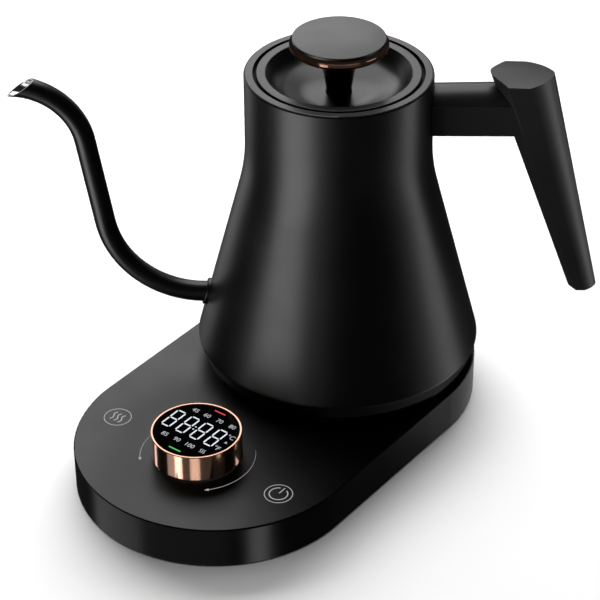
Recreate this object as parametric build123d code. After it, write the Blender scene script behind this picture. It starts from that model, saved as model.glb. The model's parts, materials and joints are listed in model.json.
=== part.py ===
from build123d import *
import math
import os

# Gooseneck kettle on a cordless power base. Millimetres and degrees.
# Origin: where the kettle's vertical axis meets the counter. +Z is up, +X points to the handle.
# The base is drawn in its own frame (X from the kettle axis to the dial) and then turned by BASE_TURN.

# ---- driving dimensions: power base
BASE_R = 72.3
BASE_SPAN = 100.1
BASE_TURN = -126.0
BASE_LOW = 1.0
BASE_TOP = 22.4
BASE_WALL = 2.2
ROOF = 2.5
PLATE = 2.2
FOOT_R = 6.0
HUB_FOOT_R = 9.0
FOOT_SEAT = 0.8
FOOT_SPOTS = [(-38, 46), (-38, -46), (140, 44), (140, -44)]
BOSS_SPOTS = [(-48, 30), (-48, -30), (50, 62), (50, -62), (158, 0)]
BOSS_R = 3.5
GLAND_Z = 10.6
GLAND_BORE_R = 3.4
GLAND_NECK_R = 6.0
GLAND_FLANGE_R = 7.6
GLAND_FLANGE = 1.6
GLAND_STEP = 0.6
GLAND_DEPTH = 7.0

# ---- driving dimensions: control dial
DIAL_X = 116.8
DIAL_Y = -0.4
DIAL_R = 22.5
DIAL_LOW = 23.1
DIAL_TOP = 37.0
DIAL_WALL = 1.15
DIAL_PRESS = 0.6
TOUCH_Y = 51.0
TOUCH_R = 7.0

# ---- driving dimensions: kettle body
NECK_R = 46.7
RIM_Z = 185.1
RIM_IN_R = 42.3
CONE_TOP_Z = 135.2
CONE_LOW_R = 73.0
CONE_LOW_Z = 34.6
NECK_BLEND = 100.0
TURN_BLEND = 2.6
SKIRT_R = 70.5
SHELL_LOW_Z = 27.4
SHEET = 1.0
CONE_SLOPE = (CONE_LOW_R - NECK_R) / (CONE_TOP_Z - CONE_LOW_Z)
RIM_ROUND = 1.2
SEAT_IN_R = 38.6
SEAT_LOW = 172.0
SEAT_TOP = 182.6
SEAT_SHEET = 0.8
SEAT_WELD_LOW = 177.0
FLOOR_Z = 35.4
PAN_LOW = 22.7

# ---- driving dimensions: spout
SPOUT_R = 5.3
SPOUT_WALL = 0.7
SPOUT_ROOT_Z = 56.3
SPOUT_LEAN = 9.1
SPOUT_ROOT_BEND = 50.0
SPOUT_TOP_BEND = 36.0
SPOUT_TOP_X = -162.0
SPOUT_TOP_Z = 140.3
SPOUT_END_TURN = 10.0
SPOUT_ROOT_X = 58.0
TIP_TOP = (-147.0, 181.5)
TIP_LOW = (-167.0, 168.5)
TIP_CUT = 50.0
COLLAR_WIDTH = 1.5
COLLAR_PROUD = 1.8
COLLAR_REACH = 20.0
COLLAR_ROUND = 0.7

# ---- driving dimensions: lid
LID_R = 40.5
LID_FLANGE_IN_R = 36.0
LID_DISH_Z = 174.2
LID_LOW = 170.6
KNOB_R = 24.3
KNOB_TOP = 204.6
KNOB_LOW = 197.8
KNOB_DOME_R = 260.0
KNOB_PLUG_R = 22.2
KNOB_LIP_Z = 202.3
KNOB_LIP_INSET = 1.3
KNOB_LIP_ROUND = 0.3
KNOB_TRIM_DROP = 0.2
KNOB_TRIM_ROUNDS = (1.8, 1.7)
STEM_FOOT = (6.6, LID_DISH_Z)
STEM_WAIST = (6.2, 176.0)
STEM_SHOULDER = (7.6, 184.5)
STEM_HEAD_R = 10.5
STEM_WAIST_BLEND = 6.0
STEM_SHOULDER_BLEND = 10.0
LID_SHEET = 0.9
LID_EDGE_LOW = RIM_Z - 2.2
LID_ROUNDS = (0.4, 0.6)
DISH_WALL = (30.6, 178.0)
DISH_FLOOR = (17.0, LID_DISH_Z)
DISH_BLENDS = (12.0, 26.0)
LID_CUP_TOP = RIM_Z - 1.6
LID_CUP_ROUND = 1.5
LID_BOSS_R = 5.0
SEAL_R = 37.8
SEAL_RIB_R = 38.3
SEAL_RIB_HALF = 1.0
SEAL_RIB_Z = (174.4, 178.4)
LID_CUP_R = 37.2
LID_CUP_WALL = 0.7
LID_CUP_FLOOR = 1.2
LID_SCREW_HOLE_R = 1.7
LID_PILOT_R = 1.55
LID_PILOT_TOP = 188.5

# ---- driving dimensions: handle
ARM_HALF = 11.0
ARM_LOW = 155.2
ARM_SIDE_TOP = 171.9
ARM_SPAN = (36.0, 90.0)
ARM_CREST = (177.2, 178.5)
ARM_GROOVE = 0.35
GRIP_TOP = 187.6
GRIP_LOW = 61.7
GRIP_NOSE_X = 72.8
GRIP_BACK_X = 104.4
GRIP_NOSE_LEAN = 0.3685
GRIP_BACK_LEAN = 0.233
GRIP_HALF = 14.6
GRIP_WALL = 2.4
GRIP_END_WALL_SHARE = 1.3
GRIP_END_ROUND = 1.2
GRIP_FLOOR = GRIP_LOW + 6
GRIP_SCREW_X = (87.5, 95.5)
# Half of the grip's section: shares of its length from nose to back, and of its half-width.
NOSE_SIDE = (0.055, 0.36)
CHEEK_START = (0.245, 0.99)
CHEEK_END = (0.57, 1.0)
SHOULDER = (0.78, 0.72)
BACK_SIDE = (0.949, 0.29)
CAP = 1.8
CROWN_R = 75.0
CROWN_TILT = 1.6
CROWN_X = 89.0
CROWN_Z = 184.9
BRACKET_HALF = 7.5
BRACKET_WALL = 1.5
BRACKET_LOW = 158.6
BRACKET_TOP = 170.4
BRACKET_END = 99.5
SLOT_END = 92.0
SLOT_PLAY = 0.2
GRIP_SCREW_HOLE_R = 2.2
GRIP_REACH = 130.0
WEB = (BRACKET_TOP + 0.1, BRACKET_TOP + 2.6)

GAP = 0.3


# ---------------------------------------------------------------- helpers
def lathe(points, radii=0.0):
    """Solid of revolution about Z from (radius, height) corners, each rounded by its radius."""
    outline = FilletPolyline(*points, radius=radii, close=True)
    return revolve(Plane.XZ * make_face(outline), Axis.Z)


def ring(outer, inner, low, high):
    return Pos(0, 0, low) * extrude(Circle(outer) - Circle(inner), high - low)


def disc(radius, low, high, spot=(0, 0)):
    return Pos(spot[0], spot[1], low) * extrude(Circle(radius), high - low)


def block(x, y, z):
    """Box from three (low, high) pairs."""
    size = [pair[1] - pair[0] for pair in (x, y, z)]
    middle = [(pair[0] + pair[1]) / 2 for pair in (x, y, z)]
    return Pos(*middle) * Box(*size)


def group(parts):
    """Separate solids kept together as one sub-part."""
    return Compound([solid for part in parts for solid in part.solids()])


def around(solid, radius, count, start=0.0):
    """Copies of a solid, moved out along X by radius and turned evenly about Z."""
    step = 360 / count
    return [Rot(0, 0, start + step * i) * Pos(radius, 0, 0) * solid for i in range(count)]


def parallel(points, distance):
    """Polyline moved sideways by distance, to the right of its direction, with mitred corners."""
    normals = []
    for (x0, y0), (x1, y1) in zip(points, points[1:]):
        length = math.hypot(x1 - x0, y1 - y0)
        normals.append(((y1 - y0) / length, (x0 - x1) / length))
    moved = []
    for index, (x, y) in enumerate(points):
        before = normals[max(index - 1, 0)]
        after = normals[min(index, len(normals) - 1)]
        scale = distance / (1 + before[0] * after[0] + before[1] * after[1])
        moved.append((x + scale * (before[0] + after[0]), y + scale * (before[1] + after[1])))
    return moved


def on_base(solid):
    return Rot(0, 0, BASE_TURN) * solid


def on_dial(solid):
    return on_base(Pos(DIAL_X, DIAL_Y, 0) * solid)


def stadium(radius):
    return Pos(BASE_SPAN / 2, 0, 0) * SlotCenterToCenter(BASE_SPAN, 2 * radius)


def slab(radius, low, high):
    return Pos(0, 0, low) * extrude(stadium(radius), high - low)


def screw(head_r, head_h, shank_r, length):
    """Pan-head screw with its head's underside at z = 0, head down, shank up."""
    head = disc(head_r, -head_h, 0)
    socket = Pos(0, 0, -head_h) * extrude(RegularPolygon(head_r * 0.5, 6), head_h * 0.5)
    return head - socket + disc(shank_r, 0, length)


# ---------------------------------------------------------------- power base
BOARD = 1.6
MAIN_BOARD_Z = 6.4
MAIN_X = (32.0, 88.0)
MAIN_Y = (-36.0, 36.0)
MAIN_POSTS = [(x, y) for x in (36, 84) for y in (-32, 32)]
MAIN_TOP = MAIN_BOARD_Z + BOARD
CONTROL_BOARD_Z = 8.0
CONTROL_X = (98.0, 136.0)
CONTROL_Y = (-54.0, 54.0)
CONTROL_POSTS = [(x, y) for x in (102, 132) for y in (-38, 38)]
CONTROL_TOP = CONTROL_BOARD_Z + BOARD
POST_R = 2.5
TOP_ROUND = 0.7
PILOT_DEPTH = 9.0
COUPLER_BOSS_R = 3.0
SCREW_SINK = 1.4
SCREW_SINK_R = 3.2
SCREW_HOLE_R = 1.6
FOOT_ROUND = 0.3
ROOF_LOW = BASE_TOP - ROOF
PLATE_TOP = BASE_LOW + PLATE
COUPLER_HOLE_R = 19.2
COUPLER_FLANGE_R = 27.0
COUPLER_SCREW_R = 23.5
FLANGE_TOP = 15.9
FLANGE_LOW = 13.9
PILOT_R = 1.25
SCREW_R = 1.2
STEM_HOLE_R = 8.6
COVER_PLAY = 0.1
SNUG = 0.05
# screws: head radius, head height, shank radius, length
BASE_SCREW = (2.8, 1.1, SCREW_R, 7.5)
COUPLER_SCREW = (2.4, 1.2, SCREW_R, 5.5)
PAN_SCREW = (2.8, 0.8, 1.3, 8.0)
LID_SCREW = (3.2, 1.6, 1.5, 17.0)
GRIP_SCREW = (3.6, 2.4, 2.0, 14.0)


def base_top_cover():
    shell = slab(BASE_R, BASE_LOW, BASE_TOP)
    shell = fillet(shell.faces().sort_by(Axis.Z)[-1].edges(), TOP_ROUND)
    shell -= slab(BASE_R - BASE_WALL, BASE_LOW, ROOF_LOW)
    for spot in BOSS_SPOTS:
        shell += disc(BOSS_R, PLATE_TOP, ROOF_LOW, spot)
        shell -= disc(PILOT_R, PLATE_TOP, PLATE_TOP + PILOT_DEPTH, spot)
    for boss in around(disc(COUPLER_BOSS_R, FLANGE_TOP, ROOF_LOW), COUPLER_SCREW_R, 3):
        shell += boss
    for pilot in around(disc(PILOT_R, FLANGE_TOP, ROOF_LOW), COUPLER_SCREW_R, 3):
        shell -= pilot
    shell -= disc(COUPLER_HOLE_R, ROOF_LOW, BASE_TOP)
    shell -= disc(STEM_HOLE_R, ROOF_LOW, BASE_TOP, (DIAL_X, DIAL_Y))
    shell -= gland_tool(GLAND_NECK_R)
    return on_base(shell)


def base_bottom_cover():
    plate = slab(BASE_R - BASE_WALL - COVER_PLAY, BASE_LOW, PLATE_TOP)
    for spot in FOOT_SPOTS:
        plate -= disc(FOOT_R, BASE_LOW, BASE_LOW + FOOT_SEAT, spot)
    plate -= disc(HUB_FOOT_R, BASE_LOW, BASE_LOW + FOOT_SEAT)
    for spot in BOSS_SPOTS:
        plate -= disc(SCREW_SINK_R, BASE_LOW, BASE_LOW + SCREW_SINK, spot)
        plate -= disc(SCREW_HOLE_R, BASE_LOW, PLATE_TOP, spot)
    for spot in MAIN_POSTS:
        plate += disc(POST_R, PLATE_TOP, MAIN_BOARD_Z, spot)
    for spot in CONTROL_POSTS:
        plate += disc(POST_R, PLATE_TOP, CONTROL_BOARD_Z, spot)
    return on_base(plate)


def rubber_feet():
    high = BASE_LOW + FOOT_SEAT
    pads = [disc(FOOT_R, 0, high, spot) for spot in FOOT_SPOTS]
    pads.append(disc(HUB_FOOT_R, 0, high))
    pads = [fillet(pad.faces().sort_by(Axis.Z)[0].edges(), FOOT_ROUND) for pad in pads]
    return on_base(group(pads))


def base_screws():
    low = BASE_LOW + SCREW_SINK
    return on_base(group(Pos(x, y, low) * screw(*BASE_SCREW) for x, y in BOSS_SPOTS))


def gland_tool(radius, start=-GLAND_DEPTH, end=GLAND_FLANGE + 1):
    """Cylinder through the wall opposite the dial; start and end are distances outwards from the wall."""
    axis = Plane(origin=(-BASE_R, 0, GLAND_Z), x_dir=(0, 1, 0), z_dir=(-1, 0, 0))
    return axis * Pos(0, 0, start) * extrude(Circle(radius), end - start)


def cord_gland():
    face = GLAND_STEP + GLAND_FLANGE
    gland = gland_tool(GLAND_NECK_R - SNUG, -GLAND_DEPTH, GLAND_STEP)
    gland += gland_tool(GLAND_FLANGE_R, GLAND_STEP, face)
    gland -= gland_tool(GLAND_BORE_R, -GLAND_DEPTH, face)
    return on_base(gland)


# ---- 360-degree coupler in the base
COUPLER_TOP = 24.9
COUPLER_LOW = 6.0
GROOVE_FLOOR = 11.0
PIN_GROOVE_R = 4.0
INNER_GROOVE = (12.2, 9.6)
OUTER_GROOVE = (17.2, 14.6)
CONTACT = 0.6
CONTACT_TOP = COUPLER_TOP - 3.0
TAB_HALF = 1.2
TAB_LOW = COUPLER_LOW - 2.4
TAB_TOP = GROOVE_FLOOR + 1.0
TAB_START = 60
COUPLER_ROUND = 0.8
COUPLER_PLAY = 0.4


def contact_solids():
    """Brass socket and two brass contact rings, each with a tab through the housing's floor."""
    solids = []
    for index, radius in enumerate((PIN_GROOVE_R, INNER_GROOVE[1] + CONTACT, OUTER_GROOVE[0])):
        inner = radius - CONTACT
        sleeve = ring(radius, inner, GROOVE_FLOOR, CONTACT_TOP)
        tab = block((inner, radius), (-TAB_HALF, TAB_HALF), (TAB_LOW, TAB_TOP))
        tab &= ring(radius, inner, TAB_LOW, TAB_TOP)
        solids.append(Rot(0, 0, 120 * index + TAB_START) * (sleeve + tab))
    return solids


def coupler_housing():
    body = disc(COUPLER_HOLE_R - COUPLER_PLAY, COUPLER_LOW, COUPLER_TOP)
    body = fillet(body.faces().sort_by(Axis.Z)[-1].edges(), COUPLER_ROUND)
    body += disc(COUPLER_FLANGE_R, FLANGE_LOW, FLANGE_TOP)
    for hole in around(disc(SCREW_HOLE_R, FLANGE_LOW, FLANGE_TOP), COUPLER_SCREW_R, 3):
        body -= hole
    body -= disc(PIN_GROOVE_R, GROOVE_FLOOR, COUPLER_TOP)
    for groove in (INNER_GROOVE, OUTER_GROOVE):
        body -= ring(groove[0], groove[1], GROOVE_FLOOR, COUPLER_TOP)
    for contact in contact_solids():
        body -= contact
    return on_base(body)


def coupler_contacts():
    return on_base(group(contact_solids()))


def coupler_screws():
    return on_base(group(around(Pos(0, 0, FLANGE_LOW) * screw(*COUPLER_SCREW), COUPLER_SCREW_R, 3)))


# ---- electronics
RELAY = ((40, 59), (-30, -15))
RELAY_HIGH = 10.5
RELAY_ROUND = 0.8
CORE = ((62, 82), (-8, 10))
CORE_HIGH = 9.0
CORE_CHAMFER = 1.0
WINDING = ((65, 79), (-11, 13))
WINDING_HIGH = 8.0
CAN_R = 4.6
CAN_LONG = 18.0
CAN_SPOT = (43, 24)
CAN_ROUND = 0.7
BOARD_NOTCH = 8.0
ELECTRODE = 0.8
ELECTRODE_POST_R = 1.6


def main_board():
    board = block(MAIN_X, MAIN_Y, (MAIN_BOARD_Z, MAIN_TOP))
    board -= disc(COUPLER_FLANGE_R + BOARD_NOTCH, MAIN_BOARD_Z, MAIN_TOP)
    return on_base(board)


def power_relay():
    case = block(*RELAY, (MAIN_TOP, MAIN_TOP + RELAY_HIGH))
    return on_base(fillet(case.edges().filter_by(Axis.Z), RELAY_ROUND))


def supply_transformer():
    core = block(*CORE, (MAIN_TOP, MAIN_TOP + CORE_HIGH))
    core = chamfer(core.edges().filter_by(Axis.Z), CORE_CHAMFER)
    winding = block(*WINDING, (MAIN_TOP, MAIN_TOP + WINDING_HIGH))
    return on_base(core + winding)


def filter_capacitor():
    can = Plane.YZ * extrude(Circle(CAN_R), CAN_LONG)
    can = Pos(*CAN_SPOT, MAIN_TOP + CAN_R) * can
    return on_base(fillet(can.edges(), CAN_ROUND))


def control_board():
    return on_base(block(CONTROL_X, CONTROL_Y, (CONTROL_BOARD_Z, CONTROL_TOP)))


def touch_electrodes():
    """A sensing plate under each touch symbol, on a post from the control board."""
    pads = []
    for side in (-1, 1):
        spot = (DIAL_X, side * TOUCH_Y)
        low = ROOF_LOW - ELECTRODE
        pads.append(disc(TOUCH_R, low, ROOF_LOW, spot) + disc(ELECTRODE_POST_R, CONTROL_TOP, low, spot))
    return on_base(group(pads))


# ---- control dial: a display stack that presses straight down, inside a ring that turns
STEM_R = 8.0
STEM_LOW = 14.0
COLLAR_TOP = 23.0
CARRIER_LOW = 28.4
CARRIER_FLOOR = 30.4
LENS_LOW = 35.0
LENS_TOP = 36.7
RETAINER = (24.3, 25.3)
ENCODER = (25.6, 28.1)
RING_IN_R = DIAL_R - DIAL_WALL
ENCODER_IN_R = 20.3
ENCODER_TEETH = 30
TOOTH_HALF = 0.9
TOOTH_LONG = 0.7
COLLAR_R = 20.4
SLEEVE_LOW = ROOF_LOW - 3.0
CARRIER_R = 20.9
CARRIER_IN_R = 19.4
LEAD_HOLE_R = 3.0
STEM_FLOOR = 2.0
RETAINER_R = 21.0
RETAINER_IN_R = 14.0
RETAINER_NECK_R = 16.0
DISPLAY_CHAMFER = 0.4
LENS_PLAY = 0.12
LENS_ROUND = 0.25
RING_ROUNDS = (0.2, 0.4, 0.35, 0.2)
SENSOR = ((16.8, 19.8), (-2.5, 2.5))
SENSOR_HIGH = 2.2
SPRING_R = 12.0
SPRING_WIRE = 0.45
SPRING_TURNS = 3
SWITCH_HALF = 3.1
SWITCH_HIGH = 2.6
SWITCH_BUTTON_R = 1.7


def dial_collar():
    """Fixed black foot under the ring, with the sleeve that guides the stem."""
    guide_r = STEM_R + COVER_PLAY
    collar = ring(COLLAR_R, guide_r, BASE_TOP, COLLAR_TOP)
    collar += ring(STEM_HOLE_R, guide_r, SLEEVE_LOW, COLLAR_TOP)
    return on_dial(collar)


def dial_carrier():
    cup = disc(CARRIER_R, CARRIER_LOW, LENS_LOW) - disc(CARRIER_IN_R, CARRIER_FLOOR, LENS_LOW)
    cup += disc(STEM_R, STEM_LOW, CARRIER_LOW)
    return on_dial(cup - disc(LEAD_HOLE_R, STEM_LOW + STEM_FLOOR, CARRIER_FLOOR))


def dial_retainer():
    plate = ring(RETAINER_R, RETAINER_IN_R, *RETAINER)
    return on_dial(plate + ring(RETAINER_NECK_R, RETAINER_IN_R, RETAINER[1], CARRIER_LOW))


def display_module():
    case = disc(CARRIER_IN_R - COVER_PLAY, CARRIER_FLOOR, LENS_LOW - COVER_PLAY)
    return on_dial(chamfer(case.faces().sort_by(Axis.Z)[-1].edges(), DISPLAY_CHAMFER))


def dial_lens():
    lens = disc(RING_IN_R - LENS_PLAY, LENS_LOW, LENS_TOP)
    return on_dial(fillet(lens.faces().sort_by(Axis.Z)[-1].edges(), LENS_ROUND))


def dial_ring():
    low, high = DIAL_LOW, DIAL_TOP
    outline = [(RING_IN_R, low), (DIAL_R, low), (DIAL_R, high), (RING_IN_R, high)]
    return on_dial(lathe(outline, RING_ROUNDS))


def encoder_ring():
    body = ring(RING_IN_R, ENCODER_IN_R + TOOTH_LONG - COVER_PLAY, *ENCODER)
    tooth = block((ENCODER_IN_R, ENCODER_IN_R + TOOTH_LONG), (-TOOTH_HALF, TOOTH_HALF), ENCODER)
    for copy in around(tooth, 0, ENCODER_TEETH):
        body += copy
    return on_dial(body)


def encoder_sensor():
    """Reads the encoder ring's teeth from under the carrier."""
    return on_dial(block(*SENSOR, (CARRIER_LOW - SENSOR_HIGH, CARRIER_LOW)))


def dial_spring():
    low = COLLAR_TOP + SPRING_WIRE
    high = CARRIER_LOW - SPRING_WIRE - SNUG
    path = Helix(pitch=(high - low) / SPRING_TURNS, height=high - low, radius=SPRING_R)
    profile = Plane(origin=path @ 0, z_dir=path % 0) * Circle(SPRING_WIRE)
    return on_dial(Pos(0, 0, low) * sweep(profile, path, is_frenet=True))


def push_switch():
    side = (-SWITCH_HALF, SWITCH_HALF)
    top = CONTROL_TOP + SWITCH_HIGH
    case = block(side, side, (CONTROL_TOP, top))
    return on_dial(case + disc(SWITCH_BUTTON_R, top, STEM_LOW - DIAL_PRESS - COVER_PLAY))


# ---------------------------------------------------------------- kettle underside
CONNECTOR_CORE_R = 21.2
CONNECTOR_IN_R = 19.4
CONNECTOR_ROOF = 25.4
CONNECTOR_TOP = 32.6
PAN_WALL = 2.0
PAN_WALL_TOP = 31.0
PAN_ROUND = 0.6
PAN_R = 68.9
PAN_FLOOR_TOP = PAN_LOW + 2.0
PAN_SINK = 1.1
PAN_SINK_R = 3.4
STUD_R = 2.8
STUD_CIRCLE = 59.0
STUD_START = 90
STUD_LOW = 25.4
STUD_PILOT_R = 1.35
STUD_PILOT_DEPTH = 8.0
PIN_R = 2.0
PIN_ROUND = 0.9
PIN_LOW = GROOVE_FLOOR + 2.5
CONTACT_RINGS = ((11.5, 10.8), (15.9, 15.2))
CONTACT_RING_LOW = GROOVE_FLOOR + 3.5
CONTACT_SET = 3.0
CONNECTOR_FLANGE_R = 26.0
CONNECTOR_FLANGE_TOP = PAN_FLOOR_TOP + 2.6
PROBE_SPOT = (33.0, 0.0)
CUTOUT_SPOT = (-33.5, 0.0)
HEAT_PLATE = 2.0
HEAT_PLATE_LOW = FLOOR_Z - HEAT_PLATE
ELEMENT_R = 47.0
ELEMENT_WIRE = 3.2
ELEMENT_Z = HEAT_PLATE_LOW - ELEMENT_WIRE
ELEMENT_SWEEP = 300.0
TERMINAL_R = 1.2
TERMINAL_LONG = 6.0
FLOOR_SHEET = 0.9
FLOOR_TURN_R = 67.0
FLOOR_WELD = (39.4, 43.0)
PROBE_HOLE_R = 3.2
PROBE_R = 3.0
PROBE_Z = (31.0, 42.5)
PROBE_TIP_ROUND = 2.6
PROBE_NUT_R = 4.8
PROBE_NUT_Z = (32.0, FLOOR_Z - 1.0)
PROBE_SEAL_R = 5.6
PROBE_SEAL_HIGH = 1.2
HEAT_PLATE_R = 54.0
HEAT_PLATE_HOLE_R = 5.2
CUTOUT_R = 7.5
CUTOUT_HIGH = 5.5
CUTOUT_CHAMFER = 0.6
CUTOUT_TAB_X = (-1.5, 1.5)
CUTOUT_TAB_Y = 4.2
CUTOUT_TAB_HALF = 0.4
CUTOUT_TAB_DROP = 2.5


def pin_solids():
    """Brass pin and two rings that hang into the coupler's grooves, with play all round."""
    pin = disc(PIN_R, PIN_LOW, CONNECTOR_TOP - PIN_R)
    pin = fillet(pin.faces().sort_by(Axis.Z)[0].edges(), PIN_ROUND)
    high = CONNECTOR_ROOF + CONTACT_SET
    return [pin] + [ring(*radii, CONTACT_RING_LOW, high) for radii in CONTACT_RINGS]


def kettle_connector():
    body = disc(CONNECTOR_CORE_R, PAN_LOW + GAP, CONNECTOR_TOP)
    body += disc(CONNECTOR_FLANGE_R, PAN_FLOOR_TOP + GAP, CONNECTOR_FLANGE_TOP)
    body -= disc(CONNECTOR_IN_R, PAN_LOW, CONNECTOR_ROOF)
    for solid in pin_solids():
        body -= solid
    return body


def connector_pins():
    return group(pin_solids())


def bottom_pan():
    """Black dish that stands in the shell's foot and closes the kettle's underside."""
    pan = disc(PAN_R, PAN_LOW, PAN_FLOOR_TOP)
    pan = fillet(pan.faces().sort_by(Axis.Z)[0].edges(), PAN_ROUND)
    pan += ring(PAN_R, PAN_R - PAN_WALL, PAN_FLOOR_TOP, PAN_WALL_TOP)
    pan -= disc(CONNECTOR_CORE_R + GAP, PAN_LOW, PAN_FLOOR_TOP)
    for hole in around(disc(SCREW_HOLE_R, PAN_LOW, PAN_FLOOR_TOP), STUD_CIRCLE, 3, STUD_START):
        pan -= hole
    for recess in around(disc(PAN_SINK_R, PAN_LOW, PAN_LOW + PAN_SINK), STUD_CIRCLE, 3, STUD_START):
        pan -= recess
    return pan


def pan_screws():
    low = PAN_LOW + PAN_SINK
    return group(around(Pos(0, 0, low) * screw(*PAN_SCREW), STUD_CIRCLE, 3, STUD_START))


def inner_cone_r(z):
    """Inside radius of the straight conical wall at height z."""
    return CONE_LOW_R - CONE_SLOPE * (z - CONE_LOW_Z) - SHEET * math.hypot(1, CONE_SLOPE)


def floor_plate():
    """Kettle floor: a shallow tray welded to the inside of the cone, with studs for the pan."""
    low, high = FLOOR_WELD
    bend = FLOOR_Z + FLOOR_SHEET
    skin = [(0, FLOOR_Z), (FLOOR_TURN_R, FLOOR_Z), (inner_cone_r(low), low), (inner_cone_r(high), high)]
    plate = lathe(skin + parallel(skin, -FLOOR_SHEET)[::-1])
    plate -= disc(PROBE_HOLE_R, FLOOR_Z, bend, PROBE_SPOT)
    for stud in around(disc(STUD_R, STUD_LOW, FLOOR_Z), STUD_CIRCLE, 3, STUD_START):
        plate += stud
    pilot = disc(STUD_PILOT_R, STUD_LOW, STUD_LOW + STUD_PILOT_DEPTH)
    for hole in around(pilot, STUD_CIRCLE, 3, STUD_START):
        plate -= hole
    return plate


def heat_plate():
    plate = disc(HEAT_PLATE_R, HEAT_PLATE_LOW, FLOOR_Z)
    return plate - disc(HEAT_PLATE_HOLE_R, HEAT_PLATE_LOW, FLOOR_Z, PROBE_SPOT)


def heating_element():
    """Sheathed element: most of a ring under the heat plate, with a terminal pin at each end."""
    section = Plane.XZ * Pos(ELEMENT_R, ELEMENT_Z) * Circle(ELEMENT_WIRE)
    coil = revolve(section, Axis.Z, ELEMENT_SWEEP)
    start = -ELEMENT_SWEEP / 2
    coil = Rot(0, 0, start) * coil
    for angle, side in ((start, -1), (-start, 1)):
        plane = Plane(origin=(ELEMENT_R, 0, ELEMENT_Z), x_dir=(1, 0, 0), z_dir=(0, side, 0))
        coil += Rot(0, 0, angle) * (plane * extrude(Circle(TERMINAL_R), TERMINAL_LONG))
    return coil


def temperature_probe():
    low, high = PROBE_Z
    tip = lathe([(0, low), (PROBE_R, low), (PROBE_R, high), (0, high)], [0, 0, PROBE_TIP_ROUND, 0])
    return Pos(*PROBE_SPOT, 0) * (tip + ring(PROBE_NUT_R, PROBE_R - COVER_PLAY, *PROBE_NUT_Z))


def probe_seal():
    low = FLOOR_Z + FLOOR_SHEET
    return Pos(*PROBE_SPOT, 0) * ring(PROBE_SEAL_R, PROBE_R, low, low + PROBE_SEAL_HIGH)


def dry_boil_cutout():
    low = HEAT_PLATE_LOW - CUTOUT_HIGH
    case = disc(CUTOUT_R, low, HEAT_PLATE_LOW)
    case = chamfer(case.faces().sort_by(Axis.Z)[0].edges(), CUTOUT_CHAMFER)
    for y in (-CUTOUT_TAB_Y, CUTOUT_TAB_Y):
        case += block(CUTOUT_TAB_X, (y - CUTOUT_TAB_HALF, y + CUTOUT_TAB_HALF), (low - CUTOUT_TAB_DROP, low))
    return Pos(*CUTOUT_SPOT, 0) * case


# ---------------------------------------------------------------- kettle body
def body_shell():
    """Pressed steel wall: in-turned rim, straight neck, cone and a soft turn under at the bottom."""
    outer = [(RIM_IN_R, RIM_Z), (NECK_R, RIM_Z), (NECK_R, CONE_TOP_Z), (CONE_LOW_R, CONE_LOW_Z)]
    outer.append((SKIRT_R, SHELL_LOW_Z))
    inner = parallel(outer, SHEET)
    outer_radii = [0, RIM_ROUND, NECK_BLEND, TURN_BLEND, 0]
    inner_radii = [0, RIM_ROUND - SHEET, NECK_BLEND + SHEET, TURN_BLEND - SHEET, 0]
    shell = lathe(outer + inner[::-1], outer_radii + inner_radii[::-1])
    return shell - spout_hole()


def neck_ring():
    """Lid seat inside the neck: a ledge for the lid's flange and a sleeve for its seal."""
    wall_r = NECK_R - SHEET
    sleeve_r = SEAT_IN_R + SHEET
    skirt_r = wall_r - SEAT_SHEET
    under = SEAT_TOP - SHEET
    outline = [(SEAT_IN_R, SEAT_LOW), (sleeve_r, SEAT_LOW), (sleeve_r, under), (skirt_r, under)]
    outline += [(skirt_r, SEAT_WELD_LOW), (wall_r, SEAT_WELD_LOW), (wall_r, SEAT_TOP), (SEAT_IN_R, SEAT_TOP)]
    return lathe(outline)


# ---------------------------------------------------------------- spout
def spout_path(root_x):
    """Centre line in the XZ plane: level out of the body, up at a slight lean, over the top bend."""
    lean = math.radians(SPOUT_LEAN)
    side = (math.cos(lean), math.sin(lean))
    top = (SPOUT_TOP_X + SPOUT_TOP_BEND * side[0], SPOUT_TOP_Z + SPOUT_TOP_BEND * side[1])
    corner_x = top[0] + (top[1] - SPOUT_ROOT_Z) * math.tan(lean)
    reach = SPOUT_ROOT_BEND * math.tan((math.pi / 2 - lean) / 2)
    start = (corner_x + reach, SPOUT_ROOT_Z)
    low = (corner_x - reach * math.sin(lean), SPOUT_ROOT_Z + reach * math.cos(lean))
    root_centre = (start[0], SPOUT_ROOT_Z + SPOUT_ROOT_BEND)
    end = math.radians(90 + SPOUT_END_TURN)
    middle = (math.radians(SPOUT_LEAN) + end) / 2
    root_angle = -(math.pi / 2 + (math.pi / 2 - lean) / 2)
    level = Line((root_x, SPOUT_ROOT_Z), start)
    root_arc = ThreePointArc(start, circle_point(root_centre, SPOUT_ROOT_BEND, root_angle), low)
    rise = Line(low, top)
    top_centre = (SPOUT_TOP_X, SPOUT_TOP_Z)
    over = [circle_point(top_centre, SPOUT_TOP_BEND, angle) for angle in (middle, end)]
    top_arc = ThreePointArc(top, *over)
    return Plane.XZ * (level + root_arc + rise + top_arc)


def circle_point(centre, radius, angle):
    return (centre[0] + radius * math.cos(angle), centre[1] + radius * math.sin(angle))


def spout_rod(radius):
    path = spout_path(-SPOUT_ROOT_X)
    profile = Plane(origin=(-SPOUT_ROOT_X, 0, SPOUT_ROOT_Z), z_dir=(-1, 0, 0)) * Circle(radius)
    return sweep(profile, path)


def outer_cone(proud=0.0):
    """Solid inside the straight conical wall's outer face, grown outwards by proud."""
    grow = proud * math.hypot(1, CONE_SLOPE)
    low_r, top_r = CONE_LOW_R + grow, NECK_R + grow
    return lathe([(0, CONE_LOW_Z), (low_r, CONE_LOW_Z), (top_r, CONE_TOP_Z), (0, CONE_TOP_Z)])


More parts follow.
